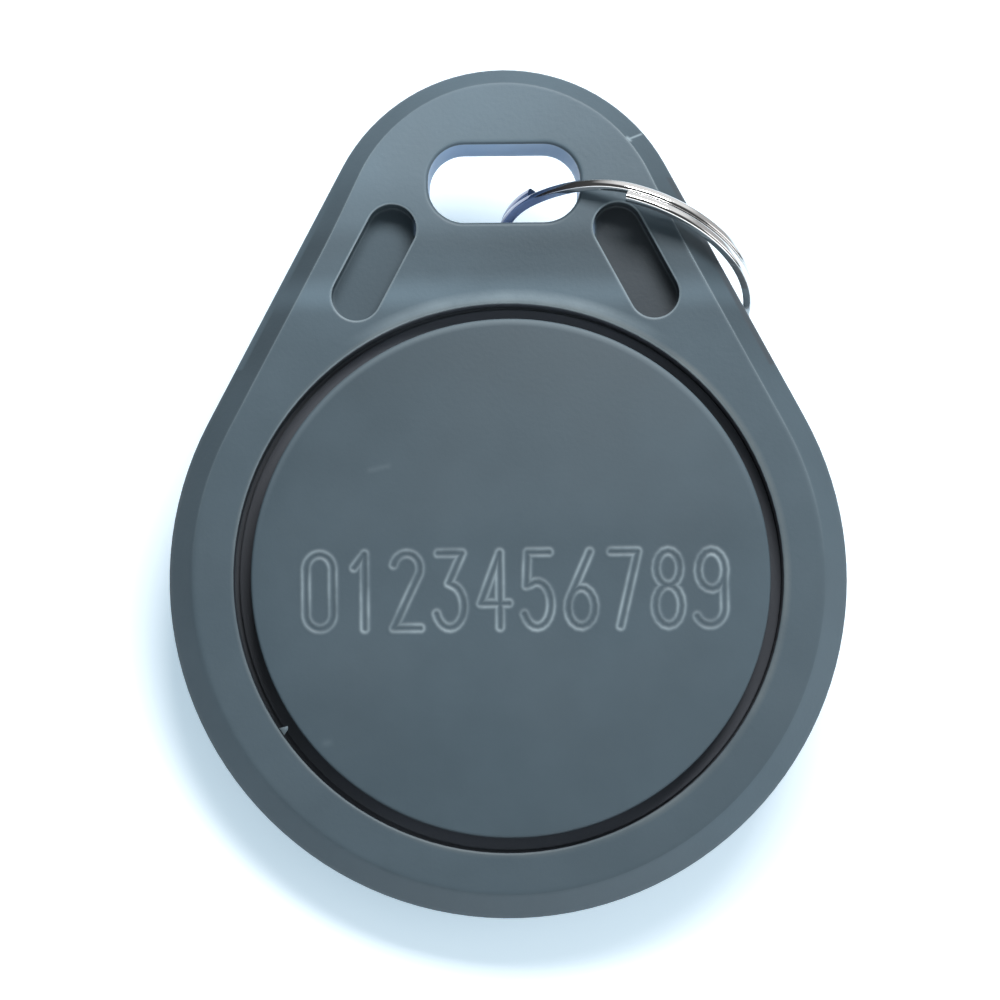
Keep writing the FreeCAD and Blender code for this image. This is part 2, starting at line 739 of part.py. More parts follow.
os.makedirs("parts", exist_ok=True)
for piece in pieces:
    shape = piece.Shape.copy()
    shape.Placement = rest * shape.Placement
    assert not shape.isNull() and shape.isValid(), f"{piece.Label} has no valid shape"
    shape.exportStep(f"parts/{piece.Label}.step")
    print(piece.Label, len(shape.Solids), round(shape.Volume, 3))
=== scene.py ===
# A grey plastic access fob with its split ring, lying on a white floor and seen from above.
import bpy
import json
import math
import numpy as np
from mathutils import Matrix, Vector


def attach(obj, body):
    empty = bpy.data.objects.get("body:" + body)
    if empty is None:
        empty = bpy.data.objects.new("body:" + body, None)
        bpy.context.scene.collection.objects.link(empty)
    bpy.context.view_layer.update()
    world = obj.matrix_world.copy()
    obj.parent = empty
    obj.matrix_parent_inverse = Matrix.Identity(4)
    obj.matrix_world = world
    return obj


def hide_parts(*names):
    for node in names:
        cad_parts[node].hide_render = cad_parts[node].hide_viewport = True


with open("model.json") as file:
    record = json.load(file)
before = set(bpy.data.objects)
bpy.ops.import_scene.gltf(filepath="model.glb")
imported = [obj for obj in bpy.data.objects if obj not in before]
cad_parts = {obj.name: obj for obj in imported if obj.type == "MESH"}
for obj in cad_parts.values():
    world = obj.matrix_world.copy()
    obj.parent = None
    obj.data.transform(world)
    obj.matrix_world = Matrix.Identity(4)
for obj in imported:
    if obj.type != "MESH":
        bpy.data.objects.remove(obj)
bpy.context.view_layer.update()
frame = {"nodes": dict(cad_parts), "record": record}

MM = 0.001


# Sizes of the housing and the lid in millimetres, as in the frame
FACE_HEIGHT = 4.0
LID_SHIFT = 0.1
SLOT_ALONG = 18.72
LID_RADIUS = 12.23
LEDGE_HEIGHT = 2.4
FLANGE_RADIUS = 12.8
FLANGE_TOP = 2.65
LID_EDGE = 0.12


def fob_frame():
    """The housing's own frame: origin on the flat back, +Y to the slotted end, +Z to the front."""
    mounts = {mount["name"]: mount for mount in frame["record"]["mounts"]}
    lid_centre = Vector(mounts["lid_face"]["pos_m"])
    z = Vector(mounts["lid_face"]["axis"]).normalized()
    ahead = Vector(mounts["key_slot"]["pos_m"]) - lid_centre
    ahead = (ahead - z * ahead.dot(z)).normalized()
    skew = math.atan2(LID_SHIFT, SLOT_ALONG)
    y = ahead * math.cos(skew) + ahead.cross(z) * math.sin(skew)
    x = y.cross(z)
    origin = lid_centre - z * FACE_HEIGHT * MM - x * LID_SHIFT * MM
    return Matrix(((x.x, y.x, z.x, origin.x),
                   (x.y, y.y, z.y, origin.y),
                   (x.z, y.z, z.z, origin.z),
                   (0, 0, 0, 1)))


FOB = fob_frame()


# Node helpers

def new_material(name, colour):
    """A material with one Principled shader; returns its tree and shader too."""
    material = bpy.data.materials.new(name)
    material.use_nodes = True
    material.diffuse_color = (*colour, 1)
    tree = material.node_tree
    shader = tree.nodes["Principled BSDF"]
    shader.inputs["Base Color"].default_value = (*colour, 1)
    return material, tree, shader


def add_node(tree, kind, **values):
    node = tree.nodes.new(kind)
    for key, value in values.items():
        setattr(node, key, value)
    return node


def noise(tree, coordinates, scale, detail=4.0, roughness=0.5):
    node = add_node(tree, "ShaderNodeTexNoise")
    node.inputs["Scale"].default_value = scale
    node.inputs["Detail"].default_value = detail
    node.inputs["Roughness"].default_value = roughness
    tree.links.new(coordinates, node.inputs["Vector"])
    return node.outputs["Fac"]


def remap(tree, value, low, high, to_low=0.0, to_high=1.0):
    node = add_node(tree, "ShaderNodeMapRange")
    node.inputs["From Min"].default_value = low
    node.inputs["From Max"].default_value = high
    node.inputs["To Min"].default_value = to_low
    node.inputs["To Max"].default_value = to_high
    tree.links.new(value, node.inputs["Value"])
    return node.outputs["Result"]


def mix_colour(tree, share, first, second):
    """share is a socket; first and second are sockets or plain colours."""
    node = add_node(tree, "ShaderNodeMix", data_type="RGBA")
    tree.links.new(share, node.inputs["Factor"])
    for name, source in (("A", first), ("B", second)):
        socket = next(item for item in node.inputs if item.name == name and item.type == "RGBA")
        if isinstance(source, bpy.types.NodeSocket):
            tree.links.new(source, socket)
        else:
            socket.default_value = (*source, 1)
    return next(item for item in node.outputs if item.type == "RGBA")


def soft_edges(tree, radius):
    """Normals rounded over the edges, and a mask that is 1 on the edges; radius is a socket."""
    bevel = add_node(tree, "ShaderNodeBevel", samples=8)
    tree.links.new(radius, bevel.inputs["Radius"])
    geometry = add_node(tree, "ShaderNodeNewGeometry")
    dot = add_node(tree, "ShaderNodeVectorMath", operation="DOT_PRODUCT")
    tree.links.new(bevel.outputs["Normal"], dot.inputs[0])
    tree.links.new(geometry.outputs["Normal"], dot.inputs[1])
    return bevel.outputs["Normal"], remap(tree, dot.outputs["Value"], 0.995, 0.93)


def bump(tree, height, strength, distance, normal=None):
    node = add_node(tree, "ShaderNodeBump")
    node.inputs["Strength"].default_value = strength
    node.inputs["Distance"].default_value = distance
    tree.links.new(height, node.inputs["Height"])
    if normal:
        tree.links.new(normal, node.inputs["Normal"])
    return node.outputs["Normal"]


# Colours of the plastic. Shading stops are pairs of a place along the fob, in millimetres, and a
# factor of painted light or shade.
# Marks are strokes on the face: start, end, half width in millimetres, and strength.

GREY = (0.078, 0.1125, 0.1375)
DULL = (0.082, 0.108, 0.128)
PALE = (0.29, 0.36, 0.40)
# Painted shade for the groove's depth
GROOVE_SHADE = (0.088, 0.096, 0.112)
# Dust on the groove's outer edge, stronger towards the top as a painted highlight
DUST_AND_HIGHLIGHT = (0.17, 0.195, 0.20)
# Painted bounce light from the floor, bluish, on the slot's wall
SLOT_BOUNCE_LIGHT = (0.34, 0.48, 0.66)
# Painted light in the left pocket and the ring's painted shadow in the right one
LEFT_POCKET_LIGHT = (0.083, 0.119, 0.145)
RIGHT_POCKET_SHADOW = (0.058, 0.072, 0.085)
# Painted light and shade along the housing: a painted highlight above the groove, painted shade
# under the slot and a painted sheen on the tab, lighter towards the top.
HOUSING_SHADING = [(-17, 1.0), (8, 1.0), (12.4, 1.02), (13.4, 1.45), (14.7, 0.95), (15.8, 0.87),
                 (17.2, 1.17), (19.5, 1.45), (25, 1.60)]
# Painted shade on the rim's bevel, darker towards the top.
RIM_SHADING = [(-17, 1.08), (-11, 1.22), (-5, 1.12), (0, 0.97), (8, 0.85), (12, 0.68), (18, 0.66),
             (25, 0.78)]
HOUSING_MARKS = [((5.95, 20.78), (6.58, 21.11), 0.08, 0.9),
                 ((5.88, 20.83), (6.0, 20.73), 0.14, 1.0),
                 ((-10.45, -6.95), (-10.3, -6.85), 0.2, 0.4)]
# Painted shade on the lid, darker towards the top.
LID_SHADING = [(-17, 1.0), (-3, 1.0), (3, 0.94), (6, 0.90), (12, 0.79), (25, 0.77)]
LID_MARKS = [((-8.7, -7.72), (-8.5, -7.68), 0.25, 0.10), ((-6.5, 5.1), (-5.6, 5.3), 0.2, 0.10)]


# Zones of the plastic, in millimetres. Reach is the distance from the lid's axis.

OUTSIDE = 99.0
GROOVE_REACH = 13.05
GROOVE_LEVELS = (1.6, 3.8)
POCKET_REACH = 13.3
POCKET_LEVELS = (1.6, 3.3)
POCKET_ALONG = (10.0, 19.0)
POCKET_ASIDE = 4.4
SLOT_LEVELS = (-1.0, 3.6)
SLOT_SIDES = (-4.3, 4.3)
SLOT_ENDS = (16.4, 21.0)
RIM_REACH = 14.0
RIM_LEVELS = (2.0, 9.0)
DUST_AND_HIGHLIGHT_REACH = (12.8, 13.12)
CREST_HIGHLIGHT_REACH = (13.0, 13.5)
LID_EDGE_HIGHLIGHT_REACH = (11.98, 12.35)
OUTER_REACH = 14.4

# Radii, in metres, to which the light sees the edges rounded
HOUSING_EDGE = 0.00022
OUTER_EDGE = 0.00045
LID_EDGE_ROUND = 0.00010


# Materials

def along_fob(tree, coordinates, axis):
    """The coordinate of the shaded point along one of the fob's own axes, in millimetres."""
    dot = add_node(tree, "ShaderNodeVectorMath", operation="DOT_PRODUCT")
    tree.links.new(coordinates, dot.inputs[0])
    dot.inputs[1].default_value = tuple(FOB.col[axis].xyz / MM)
    shift = add_node(tree, "ShaderNodeMath", operation="SUBTRACT")
    tree.links.new(dot.outputs["Value"], shift.inputs[0])
    shift.inputs[1].default_value = FOB.col[axis].xyz.dot(FOB.translation) / MM
    return shift.outputs[0]


def combine(tree, operation, first, second=0.0):
    """A math node on two values, each a socket or a number; some use only the first."""
    node = add_node(tree, "ShaderNodeMath", operation=operation)
    for socket, source in zip(node.inputs, (first, second)):
        if isinstance(source, bpy.types.NodeSocket):
            tree.links.new(source, socket)
        else:
            socket.default_value = source
    return node.outputs[0]


def stroke_mask(tree, x, y, start, end, half_width):
    """1 on the line from start to end on the fob's face, falling to 0 at half_width."""
    run = Vector(end) - Vector(start)
    length = run.length
    unit = run / length
    from_x = combine(tree, "SUBTRACT", x, start[0])
    from_y = combine(tree, "SUBTRACT", y, start[1])
    across = combine(tree, "ABSOLUTE", combine(
        tree, "ADD", combine(tree, "MULTIPLY", from_x, -unit.y),
        combine(tree, "MULTIPLY", from_y, unit.x)))
    ahead = combine(tree, "ADD", combine(tree, "MULTIPLY", from_x, unit.x),
                    combine(tree, "MULTIPLY", from_y, unit.y))
    past = combine(tree, "ABSOLUTE", combine(tree, "SUBTRACT", ahead, length / 2))
    beside = remap(tree, across, 0.0, half_width, 1.0, 0.0)
    inside = remap(tree, past, length / 2, length / 2 + half_width, 1.0, 0.0)
    return combine(tree, "MULTIPLY", beside, inside)


def tone_ramp(tree, value, stops):
    """A smooth factor along a value; stops are pairs of value and factor, halved to fit 0 to 1."""
    low, high = stops[0][0], stops[-1][0]
    ramp = add_node(tree, "ShaderNodeValToRGB")
    ramp.color_ramp.interpolation = "EASE"
    elements = ramp.color_ramp.elements
    while len(elements) < len(stops):
        elements.new(0.5)
    for element, (place, factor) in zip(elements, stops):
        element.position = (place - low) / (high - low)
        element.color = (factor / 2, factor / 2, factor / 2, 1)
    tree.links.new(remap(tree, value, low, high), ramp.inputs["Fac"])
    return combine(tree, "MULTIPLY", ramp.outputs["Color"], 2.0)


def scale_colour(tree, colour, factor):
    node = add_node(tree, "ShaderNodeVectorMath", operation="SCALE")
    tree.links.new(colour, node.inputs[0])
    tree.links.new(factor, node.inputs["Scale"])
    return node.outputs[0]


def between(tree, value, low, high, soft=0.05):
    """1 where the value lies between low and high, with soft ends."""
    rise = remap(tree, value, low - soft, low + soft)
    fall = remap(tree, value, high - soft, high + soft, 1.0, 0.0)
    return combine(tree, "MULTIPLY", rise, fall)


def product(tree, *factors):
    result = factors[0]
    for factor in factors[1:]:
        result = combine(tree, "MULTIPLY", result, factor)
    return result


def facing(tree):
    """How far the surface faces the fob's front: 1 on the face, 0 on its walls."""
    geometry = add_node(tree, "ShaderNodeNewGeometry")
    dot = add_node(tree, "ShaderNodeVectorMath", operation="DOT_PRODUCT")
    tree.links.new(geometry.outputs["True Normal"], dot.inputs[0])
    dot.inputs[1].default_value = tuple(FOB.col[2].xyz)
    return dot.outputs["Value"]


def base_colour(tree, x, y, coordinates, mottle, shading_stops):
    """The grey with soft blotches, times painted light and shade along the fob; the tab is also
    painted lighter on the left and darker on the right.
    """
    broad = noise(tree, coordinates, 110.0, 3.0, 0.5)
    colour = mix_colour(tree, remap(tree, mottle, 0.35, 0.65), tuple(c * 0.96 for c in GREY),
                        tuple(c * 1.04 for c in GREY))
    colour = mix_colour(tree, remap(tree, broad, 0.45, 0.75, 0.0, 0.35), colour, DULL)
    on_tab = remap(tree, y, 11.0, 16.0)
    # Painted light and shade across the tab: lighter on the left, darker on the right.
    aside = combine(tree, "ADD", combine(
        tree, "MULTIPLY", on_tab, remap(tree, x, -9.0, 7.0, 0.25, -0.20)), 1.0)
    return scale_colour(tree, colour, combine(tree, "MULTIPLY", tone_ramp(tree, y, shading_stops), aside))


def with_rim_shading(tree, colour, x, y, z, reach):
    """Painted light and shade on the rim's bevel round the part: darker towards the top and on the
    left, lighter towards the bottom and on the right.
    """
    rim = product(tree, remap(tree, facing(tree), 0.92, 0.8), between(tree, z, *RIM_LEVELS),
                  between(tree, reach, RIM_REACH, OUTSIDE))
    rim_shade = combine(tree, "MULTIPLY", tone_ramp(tree, y, RIM_SHADING),
                       remap(tree, x, -8.0, 8.0, 0.95, 1.08))
    return scale_colour(tree, colour, combine(tree, "ADD", combine(
        tree, "MULTIPLY", rim, combine(tree, "SUBTRACT", rim_shade, 1.0)), 1.0))


def with_hollows(tree, colour, x, y, z, reach, below):
    """Painted shade in the groove, a wall in the slot painted bluish with bounce light, and painted
    light in the left pocket and a painted shadow in the right one.
    """
    groove = combine(tree, "MULTIPLY", below, between(tree, reach, 0.0, GROOVE_REACH))
    # Painted shade in the groove: lit makes it lighter in the middle and darkest on the left.
    lit = combine(tree, "SUBTRACT", remap(tree, x, -12.0, -5.0, -0.35, 0.9),
                  remap(tree, x, 5.0, 12.0, 0.0, 0.95))
    groove_shaded = scale_colour(tree, mix_colour(tree, groove, colour, GROOVE_SHADE), combine(
        tree, "ADD", combine(tree, "MULTIPLY", groove, lit), 1.0))
    # The slot's wall painted bluish as bounce light from the floor.
    wall = product(tree, between(tree, z, *SLOT_LEVELS), between(tree, y, 15.0, 22.0),
                   between(tree, x, *SLOT_SIDES), between(tree, y, *SLOT_ENDS))
    bounce_lit = mix_colour(tree, wall, groove_shaded, SLOT_BOUNCE_LIGHT)
    # Painted light in the left pocket and the ring's painted shadow in the right pocket.
    pocket = product(tree, between(tree, z, *POCKET_LEVELS), between(tree, y, *POCKET_ALONG),
                     between(tree, reach, POCKET_REACH, OUTSIDE),
                     combine(tree, "GREATER_THAN", combine(tree, "ABSOLUTE", x), POCKET_ASIDE))
    return mix_colour(tree, pocket, bounce_lit, mix_colour(
        tree, remap(tree, x, -1.0, 1.0), LEFT_POCKET_LIGHT, RIGHT_POCKET_SHADOW))


def paleness(tree, x, y, z, reach, below, coordinates, mottle, edge, marks):
    """How pale each point is painted: edges pale from wear and painted highlights, stronger towards
    the top; a painted highlight on the lid's edge and on the crest above the groove; painted
    highlights on the engraving's lips; and marks.
    """
    # Pale edges, partly wear and partly painted highlight, stronger towards the top.
    wear_and_highlight = product(tree, edge, remap(tree, mottle, 0.3, 0.7, 0.5, 0.9),
                   remap(tree, y, 0.0, 15.0, 0.05, 1.0),
                   remap(tree, below, 0.0, 1.0, 1.0, 0.3))
    # Painted highlight along the lid's edge, stronger towards the top.
    lid_edge_highlight = product(tree, between(tree, reach, *LID_EDGE_HIGHLIGHT_REACH, 0.1),
                       remap(tree, z, 3.78, 3.86), remap(tree, y, 2.0, 11.5, 0.0, 0.3))
    # Painted highlight on the crest above the groove's top.
    crest_highlight = product(tree, between(tree, reach, *CREST_HIGHLIGHT_REACH, 0.18), remap(tree, y, 11.0, 13.0),
                    remap(tree, mottle, 0.3, 0.65, 0.2, 0.6))
    # The engraving's lips painted pale, a painted highlight.
    attribute = add_node(tree, "ShaderNodeAttribute", attribute_name="engraved").outputs["Fac"]
    scuffed = remap(tree, noise(tree, coordinates, 620.0, 3.0), 0.35, 0.65, 0.32, 0.85)
    layers = [lid_edge_highlight, crest_highlight, combine(tree, "MULTIPLY", attribute, scuffed)]
    for start, end, half_width, strength in marks:
        layers.append(combine(tree, "MULTIPLY",
                              stroke_mask(tree, x, y, start, end, half_width), strength))
    for layer in layers:
        wear_and_highlight = combine(tree, "MAXIMUM", wear_and_highlight, layer)
    return wear_and_highlight


def plastic(name, grain, edge_radius, roughness, specular, shading_stops, marks):
    """Moulded ABS: fine grain, mottle, painted light and shade along the part and on its rim, edges
    that catch the light with pale wear and painted highlights, painted shade in the groove and dust
    on its outer edge, and small marks.
    """
    material, tree, shader = new_material(name, GREY)
    coordinates = add_node(tree, "ShaderNodeTexCoord").outputs["Object"]
    x, y, z = (along_fob(tree, coordinates, axis) for axis in range(3))
    reach = combine(tree, "SQRT", combine(
        tree, "ADD", combine(tree, "POWER", combine(tree, "SUBTRACT", x, LID_SHIFT), 2.0),
        combine(tree, "POWER", y, 2.0)))
    mottle = noise(tree, coordinates, 260.0, 5.0, 0.6)
    fine = noise(tree, coordinates, 5200.0, 2.0, 0.5)
    below = between(tree, z, *GROOVE_LEVELS)

    colour = base_colour(tree, x, y, coordinates, mottle, shading_stops)
    colour = with_rim_shading(tree, colour, x, y, z, reach)
    colour = with_hollows(tree, colour, x, y, z, reach, below)
    # Dust on the groove's outer edge, strengthened towards the top as a painted highlight.
    dust_and_highlight = product(tree, between(tree, reach, *DUST_AND_HIGHLIGHT_REACH, 0.12), remap(tree, z, 3.8, 3.9),
                    remap(tree, mottle, 0.3, 0.65, 0.15, 0.7),
                    remap(tree, y, -2.0, 12.0, 0.7, 1.3))
    colour = mix_colour(tree, dust_and_highlight, colour, DUST_AND_HIGHLIGHT)

    outer = combine(tree, "MULTIPLY", between(tree, reach, OUTER_REACH, OUTSIDE),
                    remap(tree, y, 10.0, 2.0))
    radius = combine(tree, "ADD", combine(tree, "MULTIPLY", outer, OUTER_EDGE - edge_radius),
                     edge_radius)
    normal, edge = soft_edges(tree, radius)
    wear_and_highlight = paleness(tree, x, y, z, reach, below, coordinates, mottle, edge, marks)
    tree.links.new(mix_colour(tree, wear_and_highlight, colour, PALE), shader.inputs["Base Color"])
    tree.links.new(remap(tree, mottle, 0.3, 0.7, roughness - 0.03, roughness + 0.03),
                   shader.inputs["Roughness"])
    tree.links.new(bump(tree, fine, grain, 0.00002, normal), shader.inputs["Normal"])
    shader.inputs["Specular IOR Level"].default_value = specular
    return material


def metal(name, colour, roughness, scratch_scale):
    """Plated or solid metal with faint unevenness."""
    material, tree, shader = new_material(name, colour)
    coordinates = add_node(tree, "ShaderNodeTexCoord").outputs["Object"]
    uneven = noise(tree, coordinates, scratch_scale, 3.0, 0.5)
    tree.links.new(remap(tree, uneven, 0.3, 0.7, roughness * 0.7, roughness * 1.3),
                   shader.inputs["Roughness"])
    tree.links.new(bump(tree, uneven, 0.05, 0.00002), shader.inputs["Normal"])
    shader.inputs["Metallic"].default_value = 1.0
    return material


def nickel(name, colour, slot_side_shade):
    """Bright nickel plating, painted darker and bluer towards the slot's side as a painted
    reflection and shade.
    """
    material = metal(name, colour, 0.1, 700.0)
    tree = material.node_tree
    coordinates = add_node(tree, "ShaderNodeTexCoord").outputs["Object"]
    x = along_fob(tree, coordinates, 0)
    # Painted shade and reflection: darker and bluer towards the slot's side.
    tree.links.new(mix_colour(tree, remap(tree, x, 1.6, 4.2), slot_side_shade, colour),
                   tree.nodes["Principled BSDF"].inputs["Base Color"])
    return material


def winding(name, colour):
    """Turns of enamelled wire, packed as fine rounds one beside the other."""
    material, tree, shader = new_material(name, colour)
    coordinates = add_node(tree, "ShaderNodeTexCoord").outputs["Object"]
    uneven = noise(tree, coordinates, 9000.0, 2.0, 0.5)
    tree.links.new(mix_colour(tree, uneven, tuple(c * 0.7 for c in colour), colour),
                   shader.inputs["Base Color"])
    tree.links.new(bump(tree, uneven, 0.5, 0.00005), shader.inputs["Normal"])
    shader.inputs["Metallic"].default_value = 0.9
    shader.inputs["Roughness"].default_value = 0.35
    return material


def board(name, colour):
    """Glass laminate under a green mask, with its weave."""
    material, tree, shader = new_material(name, colour)
    coordinates = add_node(tree, "ShaderNodeTexCoord").outputs["Object"]
    weave = add_node(tree, "ShaderNodeTexChecker")
    weave.inputs["Scale"].default_value = 4000.0
    tree.links.new(coordinates, weave.inputs["Vector"])
    tree.links.new(mix_colour(tree, weave.outputs["Fac"], colour, tuple(c * 1.25 for c in colour)),
                   shader.inputs["Base Color"])
    shader.inputs["Roughness"].default_value = 0.35
    return material


def glossy(name, colour, roughness):
    """A smooth dark surface with a faint cloudiness."""
    material, tree, shader = new_material(name, colour)
    coordinates = add_node(tree, "ShaderNodeTexCoord").outputs["Object"]
    cloud = noise(tree, coordinates, 1500.0, 3.0, 0.5)
    tree.links.new(mix_colour(tree, cloud, colour, tuple(c * 1.4 for c in colour)),
                   shader.inputs["Base Color"])
    tree.links.new(remap(tree, cloud, 0.3, 0.7, roughness * 0.8, roughness * 1.2),
                   shader.inputs["Roughness"])
    return material


FINISHES = {
    "body_shell": plastic("housing_plastic", 0.35, HOUSING_EDGE, 0.46, 0.32, HOUSING_SHADING,
                          HOUSING_MARKS),
    "antenna_coil": winding("winding_wire", (0.55, 0.22, 0.08)),
    "chip_board": board("board_laminate", (0.06, 0.2, 0.08)),
    "contact_pads": metal("pad_copper", (0.8, 0.55, 0.2), 0.3, 3000.0),
    "chip_die": glossy("die_silicon", (0.15, 0.16, 0.2), 0.15),
    "chip_resin": glossy("resin_black", (0.01, 0.01, 0.012), 0.2),
    "solder_joints": metal("solder", (0.6, 0.6, 0.62), 0.25, 3000.0),
}
LID_PLASTIC = plastic("lid_plastic", 0.25, LID_EDGE_ROUND, 0.5, 0.25, LID_SHADING, LID_MARKS)
# The second colour is painted shade and reflection on the ring's part by the slot.
NICKEL = nickel("ring_nickel", (0.80, 0.80, 0.80), (0.24, 0.25, 0.33))


def paint(obj, material):
    obj.data.materials.clear()
    obj.data.materials.append(material)


def add_object(name, data):
    """A new object in the scene."""
    obj = bpy.data.objects.new(name, data)
    bpy.context.scene.collection.objects.link(obj)
    return obj


for name, material in FINISHES.items():
    paint(frame["nodes"][name], material)


# Numbers engraved in the lid. Strokes are drawn in a cell 1 high, which is the digits' height.

def arc(mid_x, mid_y, radius_x, radius_y, start, end, steps=16):
    """Points of an ellipse from start to end, in degrees, anticlockwise if end is larger."""
    turns = [math.radians(start + (end - start) * step / steps) for step in range(steps + 1)]
    return [(mid_x + radius_x * math.cos(turn), mid_y + radius_y * math.sin(turn))
            for turn in turns]


DIGITS = {
    "0": [arc(0.18, 0.80, 0.18, 0.20, 0, 180) + arc(0.18, 0.20, 0.18, 0.20, 180, 360)
          + [(0.36, 0.80)]],
    "1": [[(0.06, 0.82), (0.20, 1.0), (0.20, 0.0)]],
    "2": [arc(0.18, 0.80, 0.18, 0.20, 165, -35) + [(0.0, 0.0), (0.36, 0.0)]],
    "3": [[(0.02, 1.0), (0.34, 1.0), (0.16, 0.60)] + arc(0.17, 0.29, 0.19, 0.29, 70, -160)],
    "4": [[(0.26, 0.0), (0.26, 1.0), (0.0, 0.32), (0.38, 0.32)]],
    "5": [[(0.34, 1.0), (0.05, 1.0), (0.03, 0.55)] + arc(0.17, 0.30, 0.19, 0.30, 115, -155)],
    "6": [[(0.30, 1.0), (0.05, 0.44)] + arc(0.18, 0.26, 0.18, 0.26, 140, 500)],
    "7": [[(0.0, 1.0), (0.36, 1.0), (0.12, 0.0)]],
    "8": [arc(0.18, 0.77, 0.16, 0.23, 270, -90) + arc(0.18, 0.27, 0.18, 0.27, 90, 450)],
    "9": [arc(0.18, 0.74, 0.18, 0.26, -20, 340) + [(0.345, 0.56)]
          + arc(0.15, 0.24, 0.20, 0.24, 0, -150)],
}
ROW_TEXT = "0123456789"
ROW_HEIGHT = 3.5
ROW_PITCH = 2.05
ROW_LEFT = -9.65
ROW_BOTTOM = -2.38
GROOVE_HALF = 0.17
GROOVE_DEPTH = 0.035
GROOVE_LIP = 0.035
LIP_WIDTH = 0.085
WALL_PLACE = 0.72
WALL_SOFTNESS = 0.022

# The face's fine grid round the row, in millimetres
GRID_STEP = 0.042
GRID_HALF = 10.7
GRID_MARGIN = 0.5
ARC_STEPS = 180


def stroke_distance(x, y):
    """How far each point of the lid is from the nearest stroke, in millimetres."""
    nearest = np.full(x.shape, 9.0)
    for place, digit in enumerate(ROW_TEXT):
        left = ROW_LEFT + place * ROW_PITCH
        near = (x > left - 0.8) & (x < left + ROW_PITCH + 0.4)
        here_x, here_y = x[near], y[near]
        best = nearest[near]
        for stroke in DIGITS[digit]:
            points = [(left + px * ROW_HEIGHT, ROW_BOTTOM + py * ROW_HEIGHT) for px, py in stroke]
            for (x0, y0), (x1, y1) in zip(points, points[1:]):
                run_x, run_y = x1 - x0, y1 - y0
                length = run_x * run_x + run_y * run_y
                if length == 0:
                    continue
                share = np.clip(((here_x - x0) * run_x + (here_y - y0) * run_y) / length, 0, 1)
                gap = np.hypot(here_x - x0 - share * run_x, here_y - y0 - share * run_y)
                best = np.minimum(best, gap)
        nearest[near] = best
    return nearest


def engraving(x, y):
    """The face's height over its plane, a groove between two raised lips, and how pale it is: the
    lips are painted pale as a painted highlight.
    """
    gap = stroke_distance(x, y)
    groove = 1 / (1 + np.exp((gap - GROOVE_HALF * WALL_PLACE) / WALL_SOFTNESS))
    lip = np.exp(-((gap - GROOVE_HALF) / LIP_WIDTH) ** 2)
    return GROOVE_LIP * lip - GROOVE_DEPTH * groove, lip


